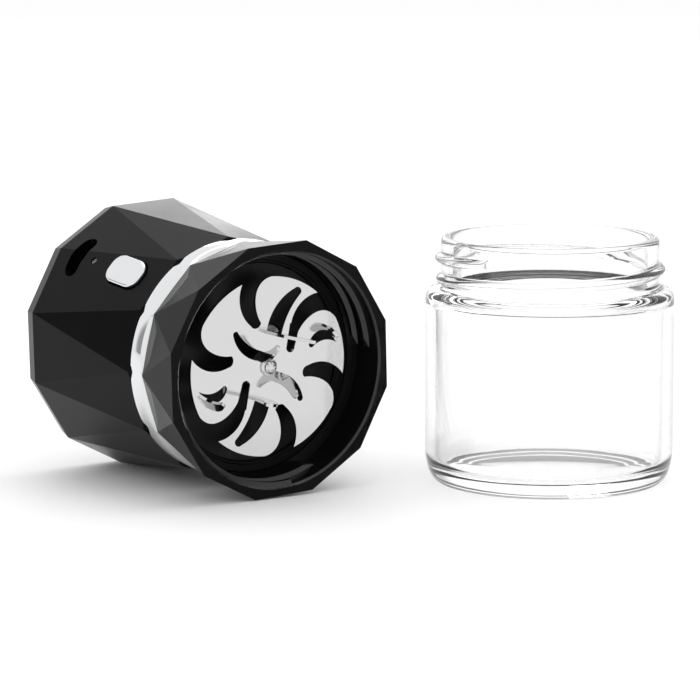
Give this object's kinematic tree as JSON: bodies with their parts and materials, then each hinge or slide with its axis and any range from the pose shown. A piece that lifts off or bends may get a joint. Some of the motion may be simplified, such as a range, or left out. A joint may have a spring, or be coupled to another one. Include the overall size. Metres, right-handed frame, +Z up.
{
  "type": "electric herb grinder",
  "caption": "Battery herb and spice grinder, its twelve-sided motor head lying beside the open glass screw jar, with a toothed disc blade in the threaded mouth.",
  "frame": {"origin": "bottom centre of the bounding box of the whole pair as it stands on a level surface", "axes": "+Z up, +X from the motor head towards the glass jar, along the longest side of the pair, -Y the side the head's open mouth turns towards"},
  "size_m": [0.162, 0.0918, 0.0676],
  "materials": {
    "black_housing": "fine matte moulded ABS",
    "black_inner": "moulded, unpainted",
    "black_rubber": "matte",
    "chrome": "mirror",
    "blade_steel": "polished",
    "plain_steel": "bright zinc",
    "bronze": "sintered",
    "ferrite": "dull",
    "laminations": "stacked sheets",
    "copper": "enamelled wire",
    "carbon": "pressed carbon",
    "brass": "bright",
    "cell_foil": "satin foil",
    "board_green": "solder mask",
    "chip_black": "moulded epoxy",
    "light_chip": "clear cast",
    "clear_plastic": "clear",
    "switch_plastic": "moulded",
    "lead_sleeve": "soft PVC",
    "clear_glass": "clear, fire-polished"
  },
  "bodies": {
    "grinder_head": {"housing_shell": "black_housing", "end_cap": "black_housing", "rear_pad": "black_rubber", "cap_screws": "plain_steel", "trim_ring": "chrome", "mouth_collar": "black_housing", "motor_deck": "black_inner", "jar_gasket": "black_rubber", "shaft_seal": "black_rubber", "deck_screws": "plain_steel", "motor_can": "plain_steel", "motor_screws": "plain_steel", "motor_front_bush": "bronze", "motor_rear_bush": "bronze", "motor_end_bell": "black_inner", "motor_magnets": "ferrite", "motor_brushes": "carbon", "motor_terminals": "brass", "battery_cell": "cell_foil", "battery_cradle": "black_inner", "circuit_board": "board_green", "board_components": "chip_black", "board_screws": "plain_steel", "usb_receptacle": "plain_steel", "usb_tongue": "chip_black", "charge_light": "light_chip", "light_pipe": "clear_plastic", "tact_switch": "switch_plastic", "battery_leads": "lead_sleeve", "motor_leads": "lead_sleeve"},
    "rotor": {"motor_shaft": "plain_steel", "armature_core": "laminations", "armature_windings": "copper", "commutator": "brass", "drive_hub": "black_inner", "hub_cap": "blade_steel", "turbine_blade": "blade_steel"},
    "button": {"power_button": "chrome", "switch_plunger": "black_inner"},
    "jar": {"glass_jar": "clear_glass"}
  },
  "joints": [
    {"name": "blade_spin", "type": "hinge", "parent": "grinder_head", "child": "rotor", "pos_m": [-0.02016, -0.02268, 0.03179], "axis": [0.5632, -0.8256, -0.0361], "continuous": true},
    {"name": "button_press", "type": "slide", "parent": "grinder_head", "child": "button", "axis": [0.5157, 0.548, -0.6586], "range_m": [0, 0.0006], "stiffness_N_per_m": 1500, "springref_m": -0.0003},
    {"name": "jar_lift", "type": "slide", "parent": "grinder_head", "child": "jar", "axis": [0, 0, 1], "range_m": [0, 0.08]}
  ]
}
